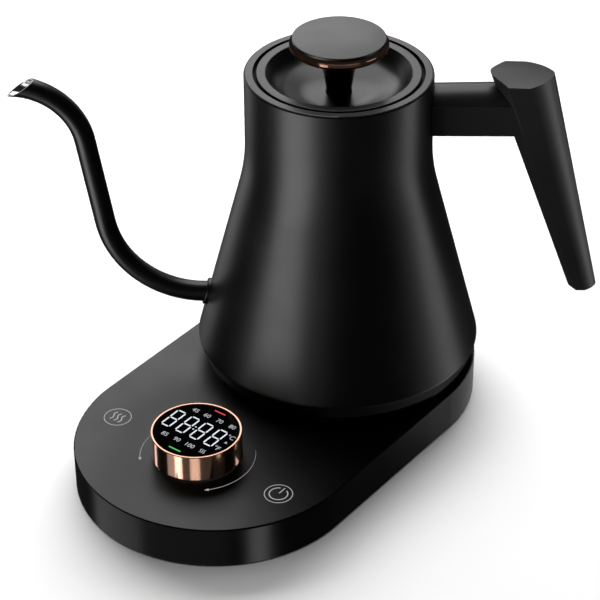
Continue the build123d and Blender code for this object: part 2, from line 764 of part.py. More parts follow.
def spout_hole():
    root = Plane(origin=(-SPOUT_ROOT_X, 0, SPOUT_ROOT_Z), z_dir=(-1, 0, 0))
    return root * extrude(Circle(SPOUT_R - SPOUT_WALL), COLLAR_REACH)


def spout_tube():
    tube = spout_rod(SPOUT_R) - spout_rod(SPOUT_R - SPOUT_WALL)
    tube -= outer_cone()
    run = (TIP_LOW[0] - TIP_TOP[0], TIP_LOW[1] - TIP_TOP[1])
    length = math.hypot(*run)
    away = (run[1] / length, 0, -run[0] / length)
    cut = Plane(origin=(TIP_TOP[0], 0, TIP_TOP[1]), x_dir=(0, 1, 0), z_dir=away)
    tube -= cut * Pos(0, 0, TIP_CUT / 2) * Box(TIP_CUT, TIP_CUT, TIP_CUT)
    return tube


def spout_collar():
    """Low weld bead that follows the cone where the tube meets it."""
    root = Plane(origin=(-SPOUT_ROOT_X, 0, SPOUT_ROOT_Z), z_dir=(-1, 0, 0))
    bead = root * extrude(Circle(SPOUT_R + COLLAR_WIDTH), COLLAR_REACH)
    bead &= outer_cone(COLLAR_PROUD)
    bead = fillet(bead.faces().sort_by(Axis.X)[0].edges(), COLLAR_ROUND)
    return bead - spout_rod(SPOUT_R) - outer_cone()


# ---------------------------------------------------------------- lid
def lid_top():
    """Dished cover with a flat flange that lies level with the kettle's rim."""
    upper = [(LID_R, LID_EDGE_LOW), (LID_R, RIM_Z), (LID_FLANGE_IN_R, RIM_Z)]
    upper += [DISH_WALL, DISH_FLOOR, (0, LID_DISH_Z)]
    lower = parallel(upper, -LID_SHEET)
    upper_radii = [0, *LID_ROUNDS, *DISH_BLENDS, 0]
    lower_blends = [blend + LID_SHEET for blend in (LID_ROUNDS[1], *DISH_BLENDS)]
    lower_radii = [0, 0, *lower_blends, 0]
    cover = lathe(upper + lower[::-1], upper_radii + lower_radii[::-1])
    return cover - disc(LID_SCREW_HOLE_R, LID_LOW, LID_DISH_Z + SHEET)


def lid_base():
    """Cup that closes the lid from below."""
    floor = LID_LOW + LID_CUP_FLOOR
    cup = disc(LID_CUP_R, LID_LOW, LID_CUP_TOP)
    cup = fillet(cup.faces().sort_by(Axis.Z)[0].edges(), LID_CUP_ROUND)
    cup -= disc(LID_CUP_R - LID_CUP_WALL, floor, LID_CUP_TOP)
    cup += disc(LID_BOSS_R, floor, LID_DISH_Z - LID_SHEET)
    return cup - disc(LID_SCREW_HOLE_R, LID_LOW, LID_DISH_Z)


def lid_seal():
    """Silicone ring with two soft ribs."""
    skin_r, rib_r, half = SEAL_R, SEAL_RIB_R, SEAL_RIB_HALF
    outline = [(LID_CUP_R, SEAL_RIB_Z[0] - half)]
    for z in SEAL_RIB_Z:
        outline += [(skin_r, z - half), (rib_r, z), (skin_r, z + half)]
    return lathe(outline + [(LID_CUP_R, SEAL_RIB_Z[1] + half)])


def lid_knob_stem():
    outline = [(0, LID_DISH_Z), STEM_FOOT, STEM_WAIST, STEM_SHOULDER]
    outline += [(STEM_HEAD_R, KNOB_LOW), (0, KNOB_LOW)]
    stem = lathe(outline, [0, 0, STEM_WAIST_BLEND, STEM_SHOULDER_BLEND, 0, 0])
    return stem - disc(LID_PILOT_R, LID_DISH_Z, LID_PILOT_TOP)


def lid_knob_disc():
    """Matte cap: a plug inside the trim ring and a thin lip over it."""
    lip_r = KNOB_R - KNOB_LIP_INSET
    cap = disc(KNOB_PLUG_R, KNOB_LOW, KNOB_LIP_Z) + disc(lip_r, KNOB_LIP_Z, KNOB_TOP)
    cap &= Pos(0, 0, KNOB_TOP - KNOB_DOME_R) * Sphere(KNOB_DOME_R)
    return fillet(cap.faces().sort_by(Axis.Z)[-1].edges(), KNOB_LIP_ROUND)


def lid_knob_trim():
    low = KNOB_LOW - KNOB_TRIM_DROP
    outline = [(KNOB_PLUG_R, low), (KNOB_R, low), (KNOB_R, KNOB_LIP_Z), (KNOB_PLUG_R, KNOB_LIP_Z)]
    return lathe(outline, [0, *KNOB_TRIM_ROUNDS, 0])


def lid_screw():
    return Pos(0, 0, LID_LOW) * screw(*LID_SCREW)


# ---------------------------------------------------------------- handle
def grip_outline(z, wall=0.0):
    """Closed section at height z, wall inside the skin: round nose, flat cheeks, leaf-shaped back."""
    drop = GRIP_TOP - z
    nose = GRIP_NOSE_X + GRIP_NOSE_LEAN * drop
    back = GRIP_BACK_X + GRIP_BACK_LEAN * drop
    half = GRIP_HALF * (back - nose) / (GRIP_BACK_X - GRIP_NOSE_X) - wall
    nose += GRIP_END_WALL_SHARE * wall
    back -= GRIP_END_WALL_SHARE * wall

    def at(spot, side):
        return (nose + spot[0] * (back - nose), side * spot[1] * half)

    outline = ThreePointArc(at(NOSE_SIDE, -1), (nose, 0), at(NOSE_SIDE, 1))
    outline += ThreePointArc(at(BACK_SIDE, 1), (back, 0), at(BACK_SIDE, -1))
    for side in (-1, 1):
        outline += Line(at(NOSE_SIDE, side), at(CHEEK_START, side))
        outline += Line(at(CHEEK_START, side), at(CHEEK_END, side))
        outline += ThreePointArc(at(CHEEK_END, side), at(SHOULDER, side), at(BACK_SIDE, side))
    return Pos(0, 0, z) * make_face(outline)


def under_crown(drop=0.0):
    """Space under the grip's gently crowned top, lowered by drop."""
    bar = Plane.YZ * extrude(Circle(CROWN_R), 2 * CROWN_R, both=True)
    return Pos(CROWN_X, 0, CROWN_Z - drop) * Rot(0, CROWN_TILT, 0) * Pos(0, 0, -CROWN_R) * bar


def grip_outer():
    solid = loft([grip_outline(GRIP_LOW), grip_outline(GRIP_TOP)], ruled=True)
    return fillet(solid.faces().sort_by(Axis.Z)[0].edges(), GRIP_END_ROUND)


def grip_inner():
    return loft([grip_outline(GRIP_FLOOR, GRIP_WALL), grip_outline(GRIP_TOP, GRIP_WALL)], ruled=True)


def handle_grip():
    inner = grip_inner()
    web = inner & Pos(0, 0, WEB[0]) * extrude(Circle(GRIP_REACH), WEB[1] - WEB[0])
    grip = (grip_outer() - inner + web) & under_crown(CAP)
    slot = BRACKET_HALF + SLOT_PLAY
    grip -= block((ARM_SPAN[0], SLOT_END), (-slot, slot), (BRACKET_LOW - SLOT_PLAY, WEB[0]))
    for x in GRIP_SCREW_X:
        grip -= disc(GRIP_SCREW_HOLE_R, *WEB, (x, 0))
    return grip


def handle_cap():
    cap = grip_outer() & under_crown()
    return cap - under_crown(CAP)


def arm_section(x, crest):
    """Flat sides and underside, a parting groove along each side, and a crowned top."""
    low, side, half = ARM_LOW, ARM_SIDE_TOP, ARM_HALF
    inner = half - ARM_GROOVE
    corners = [(inner, side), (inner, side - ARM_GROOVE), (half, side - ARM_GROOVE), (half, low)]
    corners += [(-y, z) for y, z in corners[::-1]]
    outline = Polyline(*corners) + ThreePointArc((-inner, side), (0, crest), (inner, side))
    return Pos(x, 0, 0) * (Plane.YZ * make_face(outline))


def handle_arm():
    arm = loft([arm_section(*spot) for spot in zip(ARM_SPAN, ARM_CREST)], ruled=True)
    slot = BRACKET_HALF + SLOT_PLAY
    arm -= block(ARM_SPAN, (-slot, slot), (BRACKET_LOW - SLOT_PLAY, BRACKET_TOP + SLOT_PLAY))
    return arm - disc(NECK_R + COVER_PLAY, CONE_TOP_Z, RIM_Z) - grip_outer()


def handle_bracket():
    """Steel box section welded to the neck, carrying the arm and the grip."""
    span = (ARM_SPAN[0], BRACKET_END)
    bar = block(span, (-BRACKET_HALF, BRACKET_HALF), (BRACKET_LOW, BRACKET_TOP))
    hollow = BRACKET_HALF - BRACKET_WALL
    bar -= block(span, (-hollow, hollow), (BRACKET_LOW + BRACKET_WALL, BRACKET_TOP - BRACKET_WALL))
    for x in GRIP_SCREW_X:
        bar -= disc(GRIP_SCREW_HOLE_R, BRACKET_LOW, BRACKET_TOP, (x, 0))
    return bar - disc(NECK_R, CONE_TOP_Z, RIM_Z)


def handle_screws():
    down = Rot(180, 0, 0) * screw(*GRIP_SCREW)
    return group(Pos(x, 0, WEB[1]) * down for x in GRIP_SCREW_X)


PARTS = [
    base_top_cover, base_bottom_cover, rubber_feet, base_screws, cord_gland, coupler_housing,
    coupler_contacts, coupler_screws, main_board, power_relay, supply_transformer, filter_capacitor,
    control_board, touch_electrodes, dial_collar, dial_carrier, dial_retainer, display_module,
    dial_lens, dial_ring, encoder_ring, encoder_sensor, dial_spring, push_switch, kettle_connector,
    connector_pins, bottom_pan, pan_screws, floor_plate, heat_plate, heating_element, temperature_probe,
    probe_seal, dry_boil_cutout, body_shell, neck_ring, spout_tube, spout_collar, lid_top, lid_base,
    lid_seal, lid_knob_stem, lid_knob_disc, lid_knob_trim, lid_screw, handle_grip, handle_cap,
    handle_arm, handle_bracket, handle_screws,
]

os.makedirs("parts", exist_ok=True)
for make in PARTS:
    export_step(make(), f"parts/{make.__name__}.step")
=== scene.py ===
import json
import math

import bmesh
import bpy
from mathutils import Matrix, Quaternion, Vector

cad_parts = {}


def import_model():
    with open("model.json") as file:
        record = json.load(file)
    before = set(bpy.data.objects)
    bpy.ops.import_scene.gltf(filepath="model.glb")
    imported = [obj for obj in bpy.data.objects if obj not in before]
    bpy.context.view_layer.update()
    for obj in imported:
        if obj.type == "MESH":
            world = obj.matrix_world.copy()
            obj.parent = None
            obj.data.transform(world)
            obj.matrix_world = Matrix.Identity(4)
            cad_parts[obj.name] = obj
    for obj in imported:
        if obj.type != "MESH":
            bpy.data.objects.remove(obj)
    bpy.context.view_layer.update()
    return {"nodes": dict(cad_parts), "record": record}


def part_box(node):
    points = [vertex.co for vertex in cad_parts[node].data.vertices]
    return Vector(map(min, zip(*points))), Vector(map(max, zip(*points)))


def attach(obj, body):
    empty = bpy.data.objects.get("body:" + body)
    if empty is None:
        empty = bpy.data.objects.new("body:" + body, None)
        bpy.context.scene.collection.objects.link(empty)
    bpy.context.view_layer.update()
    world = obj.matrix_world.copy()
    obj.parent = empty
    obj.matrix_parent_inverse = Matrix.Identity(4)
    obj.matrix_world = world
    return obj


# Gooseneck kettle on its power base. Metres; MM turns a size in millimetres into metres.
MM = 0.001

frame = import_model()
NODES = frame["nodes"]


# ---------------------------------------------------------------- places read from the frame
def middle(node):
    low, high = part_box(node)
    return (low + high) / 2


def top(node):
    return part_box(node)[1].z


# The gland is in the wall opposite the dial, so it gives the direction that the base points in.
DIAL = middle("dial_ring")
FORWARD = -(middle("cord_gland") * Vector((1, 1, 0))).normalized()
RIGHT = Vector((-FORWARD.y, FORWARD.x, 0))
UP = -FORWARD
BASE_TOP = top("base_top_cover")
LENS_TOP = top("dial_lens")


# ---------------------------------------------------------------- materials
class Nodes:
    """A short way to add linked shader nodes to one material."""

    def __init__(self, name):
        self.material = bpy.data.materials.new(name)
        self.material.use_nodes = True
        self.tree = self.material.node_tree
        self.shader = self.tree.nodes["Principled BSDF"]

    def add(self, kind, **values):
        node = self.tree.nodes.new(kind)
        for name, value in values.items():
            if name in node.inputs:
                node.inputs[name].default_value = value
            else:
                setattr(node, name, value)
        return node

    def link(self, source, output, target, socket):
        self.tree.links.new(source.outputs[output], target.inputs[socket])

    def place(self):
        return self.add("ShaderNodeTexCoord")

    def noise(self, scale, detail=3.0, stretch=(1, 1, 1)):
        """Noise in the object's own metres; scale is features per metre."""
        place = self.place()
        mapping = self.add("ShaderNodeMapping")
        mapping.inputs["Scale"].default_value = stretch
        noise = self.add("ShaderNodeTexNoise", Scale=scale, Detail=detail)
        self.link(place, "Object", mapping, "Vector")
        self.link(mapping, "Vector", noise, "Vector")
        return noise

    def spread(self, source, output, low, high, start=0.3, end=0.7):
        """Maps a value between start and end to low and high."""
        ramp = self.add("ShaderNodeMapRange")
        ramp.inputs["From Min"].default_value = start
        ramp.inputs["From Max"].default_value = end
        ramp.inputs["To Min"].default_value = low
        ramp.inputs["To Max"].default_value = high
        self.link(source, output, ramp, "Value")
        return ramp

    def bump(self, source, output, depth):
        bump = self.add("ShaderNodeBump", Distance=depth)
        self.link(source, output, bump, "Height")
        self.link(bump, "Normal", self.shader, "Normal")

    def tint(self, source, output, dark, light):
        mix = self.add("ShaderNodeMix", data_type="RGBA")
        mix.inputs["A"].default_value = (*dark, 1)
        mix.inputs["B"].default_value = (*light, 1)
        self.link(source, output, mix, "Factor")
        self.link(mix, "Result", self.shader, "Base Color")

    def set(self, **values):
        for name, value in values.items():
            self.shader.inputs[name.replace("_", " ")].default_value = value


def grey(value):
    return (value, value, value)


# noise features per metre
COAT_WANDER = 35
METAL_WANDER = 60
LAMP_WANDER = 180
PAPER_WANDER = 4


def coated(name, dark, light, rough, grain, depth, wander=0.03, specular=0.5):
    """Coat or moulding: fine grain, a slow wander in gloss and in tone."""
    m = Nodes(name)
    m.set(Specular_IOR_Level=specular)
    slow = m.noise(COAT_WANDER, 4)
    fine = m.noise(grain, 2)
    m.tint(m.spread(slow, "Fac", 0, 1), "Result", dark, light)
    m.link(m.spread(slow, "Fac", rough - wander, rough + wander), "Result", m.shader, "Roughness")
    m.bump(fine, "Fac", depth)
    return m.material


def metal(name, dark, light, rough, grain, depth, stretch=(1, 1, 1), wander=0.04):
    """Bare metal; a small number in stretch draws the grain out along that axis."""
    m = Nodes(name)
    m.set(Metallic=1.0)
    slow = m.noise(METAL_WANDER, 4, stretch)
    fine = m.noise(grain, 2, stretch)
    m.tint(m.spread(slow, "Fac", 0, 1), "Result", dark, light)
    m.link(m.spread(fine, "Fac", rough - wander, rough + wander), "Result", m.shader, "Roughness")
    m.bump(fine, "Fac", depth)
    return m.material


LAMP_DIP = 0.85


def lit(name, colour, strength):
    """Glow, even, with a faint unevenness between the lamps: light behind the display's smoked window, and
    also painted light on the printed marks, which are no lamp.
    """
    m = Nodes(name)
    m.set(Base_Color=(0, 0, 0, 1), Roughness=0.3, Specular_IOR_Level=0.2, Emission_Color=(*colour, 1))
    glow = m.spread(m.noise(LAMP_WANDER, 2), "Fac", LAMP_DIP * strength, strength)
    m.link(glow, "Result", m.shader, "Emission Strength")
    return m.material


PINK, PINK_LIGHT = (0.60, 0.33, 0.22), (0.68, 0.40, 0.29)
BOARD, BOARD_LIGHT = (0.004, 0.05, 0.018), (0.008, 0.08, 0.03)

MATERIALS = {
    "black_coat": coated("black_coat", grey(0.0014), grey(0.002), 0.36, 2600, 0.006 * MM),
    "black_plastic": coated("black_plastic", grey(0.0016), grey(0.0024), 0.23, 3200, 0.004 * MM),
    "base_matte": coated("base_matte", grey(0.0016), grey(0.0024), 0.4, 3200, 0.004 * MM),
    "handle_plastic": coated("handle_plastic", grey(0.022), grey(0.027), 0.38, 2800, 0.006 * MM),
    # near-black, dull and hardly reflecting: painted shade for the steel neck ring in the gap round the lid's
    # rim
    "neck_painted_shade": coated("neck_painted_shade", grey(0.0012), grey(0.0018), 0.6, 2600, 0.004 * MM, 0.03, 0.1),
    "rose_gold": metal("rose_gold", PINK, PINK_LIGHT, 0.13, 900, 0.0005 * MM, (1, 1, 0.02), 0.03),
    "display_glass": coated("display_glass", grey(0.001), grey(0.0015), 0.06, 500, 0.0005 * MM, 0.01),
    "bare_steel": metal("bare_steel", grey(0.5), grey(0.6), 0.28, 1200, 0.004 * MM, (1, 1, 0.05)),
    "aluminium": metal("aluminium", grey(0.6), grey(0.7), 0.4, 1500, 0.006 * MM),
    "rubber": coated("rubber", grey(0.012), grey(0.02), 0.75, 2200, 0.02 * MM),
    "brass": metal("brass", (0.62, 0.42, 0.14), (0.74, 0.54, 0.22), 0.25, 1500, 0.003 * MM),
    "circuit_board": coated("circuit_board", BOARD, BOARD_LIGHT, 0.3, 600, 0.03 * MM),
    "dark_component": coated("dark_component", grey(0.012), grey(0.02), 0.5, 1800, 0.02 * MM),
    "capacitor_can": metal("capacitor_can", grey(0.5), grey(0.62), 0.3, 900, 0.004 * MM),
    "screw_steel": metal("screw_steel", grey(0.4), grey(0.5), 0.32, 1600, 0.004 * MM),
    "polished_steel": metal("polished_steel", grey(0.62), grey(0.7), 0.16, 2400, 0.002 * MM, (1, 1, 0.2)),
    "display_white": lit("display_white", (0.86, 0.93, 1.0), 1.0),
    "display_red": lit("display_red", (0.80, 0.03, 0.05), 1.0),
    "display_green": lit("display_green", (0.05, 0.62, 0.12), 1.0),
    "display_grey": lit("display_grey", (0.86, 0.9, 1.0), 0.55),
    # printed marks given a glow of their own: painted light standing in for grey print lit by the lamps
    "print_grey": lit("print_grey", (1.0, 1.0, 1.0), 0.42),
}

# nodes whose finish differs from the rest of their slot; the steel neck ring is drawn near-black and dull, as
# painted shade in the gap round the lid's rim
OWN_FINISH = {
    "handle_grip": "handle_plastic",
    "handle_cap": "handle_plastic",
    "handle_arm": "handle_plastic",
    # steel ring drawn as painted shade
    "neck_ring": "neck_painted_shade",
}

for row in frame["record"]["subparts"]:
    node = NODES[row["node"]]
    node.data.materials.clear()
    node.data.materials.append(MATERIALS[OWN_FINISH.get(row["node"], row["material_slot"])])

# The base's top is blasted matte, its wall is left satin.
LEVEL = 0.9
cover = NODES["base_top_cover"].data
cover.materials.append(MATERIALS["base_matte"])
for face in cover.polygons:
    face.material_index = 1 if face.normal.z > LEVEL else 0


# ---------------------------------------------------------------- flat marks, in (right, up) millimetres
TEXT_EXTRUDE = 0.05
MARK = 0.06 * MM
LIFT = 0.01 * MM
SAME = 1e-6


class Marks:
    """Thin raised shapes in one plane of the base, seen with the dial at the near end."""

    def __init__(self, centre, surface):
        self.mesh = bmesh.new()
        self.centre = centre
        self.low = surface + LIFT
        self.high = self.low + MARK

    def at(self, spot, z):
        return Vector((self.centre.x, self.centre.y, z)) + (RIGHT * spot[0] + UP * spot[1]) * MM

    def prism(self, outline):
        """Closed plate from a convex outline."""
        rims = [[self.mesh.verts.new(self.at(spot, z)) for spot in outline] for z in (self.low, self.high)]
        self.mesh.faces.new(rims[0])
        self.mesh.faces.new(rims[1])
        for i, (a, b) in enumerate(zip(*rims)):
            self.mesh.faces.new((rims[0][i - 1], a, b, rims[1][i - 1]))

    def band(self, line, widths):
        """Ribbon along a line of points; a line that ends where it starts is a closed ring."""
        closed = math.dist(line[0], line[-1]) < SAME
        points = line[:-1] if closed else line
        count = len(points)
        rows = []
        for i, (x, y) in enumerate(points):
            ahead = points[(i + 1) % count] if closed else points[min(i + 1, count - 1)]
            behind = points[i - 1] if closed else points[max(i - 1, 0)]
            dx, dy = ahead[0] - behind[0], ahead[1] - behind[1]
            half = widths[i] / 2 / math.hypot(dx, dy)
            sides = [(x - dy * half, y + dx * half), (x + dy * half, y - dx * half)]
            levels = (self.low, self.high)
            rows.append([self.mesh.verts.new(self.at(side, z)) for z in levels for side in sides])
        onward = rows[1:] + rows[:1] if closed else rows[1:]
        for a, b in zip(rows, onward):
            for i, j in ((0, 1), (1, 3), (3, 2), (2, 0)):
                self.mesh.faces.new((a[i], a[j], b[j], b[i]))
        if not closed:
            for row in (rows[0], rows[-1]):
                self.mesh.faces.new((row[0], row[1], row[3], row[2]))

    def text(self, letters, centre, height):
        """Digits or a degree sign as thin raised letters."""
        data = bpy.data.curves.new(letters, "FONT")
        data.body = letters
        data.extrude = TEXT_EXTRUDE
        made = bpy.data.objects.new(letters, data)
        bpy.context.scene.collection.objects.link(made)
        bpy.context.view_layer.update()
        mesh = bpy.data.meshes.new_from_object(made.evaluated_get(bpy.context.evaluated_depsgraph_get()))
        xs = [v.co.x for v in mesh.vertices]
        ys = [v.co.y for v in mesh.vertices]
        scale = height / (max(ys) - min(ys))
        middle_x, middle_y = (max(xs) + min(xs)) / 2, (max(ys) + min(ys)) / 2
        for v in mesh.vertices:
            spot = (centre[0] + (v.co.x - middle_x) * scale, centre[1] + (v.co.y - middle_y) * scale)
            v.co = self.at(spot, self.high if v.co.z > 0 else self.low)
        self.mesh.from_mesh(mesh)
        bpy.data.objects.remove(made)

    def finish(self, name, body, slot, material=None):
        bmesh.ops.recalc_face_normals(self.mesh, faces=self.mesh.faces)
        return piece(name, self.mesh, body, material or slot)


def piece(name, bm, body, material):
    mesh = bpy.data.meshes.new(name)
    bm.to_mesh(mesh)
    bm.free()
    made = bpy.data.objects.new(name, mesh)
    bpy.context.scene.collection.objects.link(made)
    mesh.materials.append(MATERIALS[material])
    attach(made, body)
    return made


def arc(centre, radius, start, end, steps):
    """Points on a circle, angles in degrees from up towards the right."""
    angles = [math.radians(start + (end - start) * i / steps) for i in range(steps + 1)]
    return [(centre[0] + radius * math.sin(a), centre[1] + radius * math.cos(a)) for a in angles]


# ---------------------------------------------------------------- lit display, just over the lens
SCREEN_SHIFT = (-0.87, -0.64)
SCREEN = DIAL + (RIGHT * SCREEN_SHIFT[0] + UP * SCREEN_SHIFT[1]) * MM
DIGIT_X = (-14.35, -5.5, 3.35, 12.2)
DIGIT_Y = 1.6
DIGIT_WIDE = 4.9
DIGIT_HIGH = 13.3
STROKE = 0.78
SEGMENT_GAP = 0.34
NUMBER_HIGH = 2.7
UPPER_NUMBERS = {"45": -9.8, "60": -2.4, "70": 5.5, "80": 13.4}
LOWER_NUMBERS = {"85": -9.8, "90": -2.1, "100": 6.1}
UPPER_Y = 13.3
LOWER_Y = -10.45
COLON_X = -1.07
COLON_Y = (2.74, 0.6)
COLON_R = 0.42
UNITS = {"\u00b0C": (18.2, 6.4), "\u00b0F": (17.8, -4.1)}
UNIT_HIGH = 3.1
HEAT_X = 13.8
ALARM = [(17.9, 1.0), (19.6, 1.0), (18.9, 2.3), (18.5, 2.3)]
RED_BAR = [(-2.1, 18.8), (4.6, 18.8)]
GREEN_BAR = [(-1.7, -17.07), (5.5, -17.07)]
BAR = 0.7
WAVE_STEPS = 14


def segment(marks, start, end):
    """One bar of a digit, pointed at both ends."""
    length = math.dist(start, end)
    along = ((end[0] - start[0]) / length, (end[1] - start[1]) / length)
    half = STROKE / 2
    near, far = SEGMENT_GAP, length - SEGMENT_GAP
    upper = [(near, 0), (near + half, half), (far - half, half)]
    lower = [(far, 0), (far - half, -half), (near + half, -half)]
    outline = []
    for run, side in upper + lower:
        x = start[0] + along[0] * run - along[1] * side
        y = start[1] + along[1] * run + along[0] * side
        outline.append((x, y))
    marks.prism(outline)


def digit(marks, x):
    half = DIGIT_WIDE / 2
    levels = [DIGIT_Y + DIGIT_HIGH * share for share in (-0.5, 0, 0.5)]
    for y in levels:
        segment(marks, (x - half, y), (x + half, y))
    for side in (-half, half):
        for low, high in zip(levels, levels[1:]):
            segment(marks, (x + side, low), (x + side, high))


def waves(marks, centre, pitch, high, swing, width):
    """Rising heat: three upright wavy lines."""
    for k in (-1, 0, 1):
        line = []
        for i in range(WAVE_STEPS + 1):
            share = i / WAVE_STEPS
            x = centre[0] + k * pitch + swing * math.sin(math.tau * share)
            line.append((x, centre[1] + high * (share - 0.5)))
        marks.band(line, [width] * len(line))


def display():
    white = Marks(SCREEN, LENS_TOP)
    for x in DIGIT_X:
        digit(white, x)
    for y in COLON_Y:
        white.prism(arc((COLON_X, y), COLON_R, 0, 330, 11))
    white.finish("display_digits", "dial_core", "display_white")

    small = Marks(SCREEN, LENS_TOP)
    for row, y in ((UPPER_NUMBERS, UPPER_Y), (LOWER_NUMBERS, LOWER_Y)):
        for text, x in row.items():
            small.text(text, (x, y), NUMBER_HIGH)
    for text, spot in UNITS.items():
        small.text(text, spot, UNIT_HIGH)
    waves(small, (HEAT_X, LOWER_Y), pitch=1.1, high=NUMBER_HIGH, swing=0.3, width=0.34)
    small.prism(ALARM)
    small.finish("display_numbers", "dial_core", "display_white", "display_grey")

    red = Marks(SCREEN, LENS_TOP)
    red.band(RED_BAR, [BAR] * 2)
    red.finish("display_red_bar", "dial_core", "display_red")
    green = Marks(SCREEN, LENS_TOP)
    green.band(GREEN_BAR, [BAR] * 2)
    green.finish("display_green_bar", "dial_core", "display_green")


# ---------------------------------------------------------------- printing on the base
PRINT_CENTRE = FORWARD * 117.7 * MM
PRINT_SHIFT = 0.1
TURN_SHIFT = (0.6, -0.2)
TOUCH_X = 51.3
TOUCH_RING = 6.85
TOUCH_LINE = 0.4
POWER_RING = 4.5
POWER_LINE = 0.55
POWER_GAP = 24
POWER_BAR = (0.5, 5.2)
RING_STEPS = 72
ARC_STEPS = 40
TURN_ARC_R = 28.6
TURN_LINE = 0.28
TURN_THIN = 0.35
TURN_SWEEPS = ((-92.5, -132), (47, 130))
ARROW_TURN = 4.5
ARROW_HALF = 0.9


def touch_marks():
    marks = Marks(PRINT_CENTRE, BASE_TOP)
    for side in (-1, 1):
        ring = arc((side * TOUCH_X + PRINT_SHIFT, 0), TOUCH_RING, 0, 360, RING_STEPS)
        marks.band(ring, [TOUCH_LINE] * RING_STEPS)
    power = (TOUCH_X + PRINT_SHIFT, 0)
    broken = arc(power, POWER_RING, POWER_GAP, 360 - POWER_GAP, ARC_STEPS)
    marks.band(broken, [POWER_LINE] * len(broken))
    marks.band([(power[0], y) for y in POWER_BAR], [POWER_LINE] * 2)
    waves(marks, (PRINT_SHIFT - TOUCH_X, 0), pitch=2.6, high=6.4, swing=0.7, width=0.6)
    # the printed symbols glow: painted light
    marks.finish("touch_symbols", "power_base", "print_grey").visible_glossy = False


def turn_arrows():
    """Two thin arcs beside the dial, each swelling to an arrowhead at its near end."""
    marks = Marks(DIAL, BASE_TOP)
    for start, end in TURN_SWEEPS:
        line = arc(TURN_SHIFT, TURN_ARC_R, start, end, ARC_STEPS)
        shares = [i / ARC_STEPS for i in range(ARC_STEPS + 1)]
        marks.band(line, [TURN_LINE * (TURN_THIN + (1 - TURN_THIN) * share) for share in shares])
        turn = math.copysign(ARROW_TURN, end - start)
        tip = arc(TURN_SHIFT, TURN_ARC_R, end + turn, end, 1)[0]
        foot = [arc(TURN_SHIFT, TURN_ARC_R + side, end, end, 1)[0] for side in (-ARROW_HALF, ARROW_HALF)]
        marks.prism([tip, *foot])
    # the printed arrows glow: painted light
    marks.finish("turn_arrows", "power_base", "print_grey").visible_glossy = False


# ---------------------------------------------------------------- bare steel lip and bore at the spout's tip
BEND_CENTRE = (-162.0, 140.3)
BEND_R = 36.0
TIP_HIGH = (-147.0, 181.5)
TIP_NEAR = (-167.0, 168.5)
LINING_START = 38.0
LINING_STEPS = 16
LIP_SIDES = 64
# (radius, height over the cut) round the lip, from the bore out to the tube's skin
LIP = (
    (4.45, -0.5), (4.45, 0.02), (4.55, 0.1), (4.9, 0.14), (5.18, 0.1),
    (5.29, 0.03), (5.2, 0.012), (4.57, 0.012), (4.57, -0.5),
)


def spout_lip():
    """A sleeve that lines the bore and rolls over the slanting cut."""
    run = (TIP_NEAR[0] - TIP_HIGH[0], TIP_NEAR[1] - TIP_HIGH[1])
    length = math.hypot(*run)
    normal = (run[1] / length, -run[0] / length)
    tilt = math.atan2(normal[1], normal[0])
    offset = sum(n * (t - c) for n, t, c in zip(normal, TIP_HIGH, BEND_CENTRE))

    def on_cut(radius, side, over):
        """Angle along the bend where a line on the tube meets the cut, raised by over."""
        return tilt - math.acos((offset + over) / (BEND_R + radius * math.cos(side)))

    def place(radius, side, angle):
        reach = BEND_R + radius * math.cos(side)
        x = BEND_CENTRE[0] + reach * math.cos(angle)
        z = BEND_CENTRE[1] + reach * math.sin(angle)
        return Vector((x, radius * math.sin(side), z)) * MM

    bm = bmesh.new()
    sides = [math.tau * k / LIP_SIDES for k in range(LIP_SIDES)]
    start = math.radians(LINING_START)

    def row(radius, over, share=1.0):
        """Ring of points, share of the way from the lining's foot to the cut."""
        angles = [start + share * (on_cut(radius, side, over) - start) for side in sides]
        return [bm.verts.new(place(radius, side, angle)) for side, angle in zip(sides, angles)]

    outer, inner = ([row(*edge, i / LINING_STEPS) for i in range(LINING_STEPS)] for edge in (LIP[-1], LIP[0]))
    rows = inner + [row(*edge) for edge in LIP] + outer[::-1]
    for a, b in zip(rows, rows[1:] + rows[:1]):
        for k in range(LIP_SIDES):
            bm.faces.new((a[k - 1], a[k], b[k], b[k - 1]))
    bmesh.ops.recalc_face_normals(bm, faces=bm.faces)
    for face in bm.faces:
        face.smooth = True
    piece("spout_lip", bm, "kettle", "polished_steel")


display()
touch_marks()
turn_arrows()
spout_lip()


# ---------------------------------------------------------------- stage, lights and camera
FLOOR_HALF = 6.0
BACKDROP_R = 9.0
FLOOR_FADE = (0.55, 1.0)
TARGET = Vector((0, 0, 0.09))
CAMERA_AT = Vector((0, -0.9343, 0.6762))
CAMERA_AIM = Vector((-0.01973, 0, 0.05081))
CAMERA_LENS = 129.2
CAMERA_ROLL = -0.0065


def camera_only(stage):
    """The camera sees it, and it lights and shades nothing."""
    stage.visible_glossy = False
    stage.visible_diffuse = False
    stage.visible_shadow = False
    stage.visible_transmission = False


def floor():
    """Pale paper that fades to plain white away from the object."""
    mesh = bpy.data.meshes.new("floor")
    h = FLOOR_HALF
    mesh.from_pydata([(-h, -h, 0), (h, -h, 0), (h, h, 0), (-h, h, 0)], [], [(0, 1, 2, 3)])
    plane = bpy.data.objects.new("floor", mesh)
    bpy.context.scene.collection.objects.link(plane)
    m = Nodes("floor_paper")
    m.set(Roughness=0.9, Specular_IOR_Level=0.0, Emission_Color=(1, 1, 1, 1))
    m.tint(m.spread(m.noise(PAPER_WANDER, 2), "Fac", 0, 1), "Result", grey(0.86), grey(0.88))
    away = m.add("ShaderNodeVectorMath", operation="LENGTH")
    m.link(m.place(), "Object", away, "Vector")
    m.link(m.spread(away, "Value", 0, 1, *FLOOR_FADE), "Result", m.shader, "Emission Strength")
    mesh.materials.append(m.material)
    camera_only(plane)
    return plane


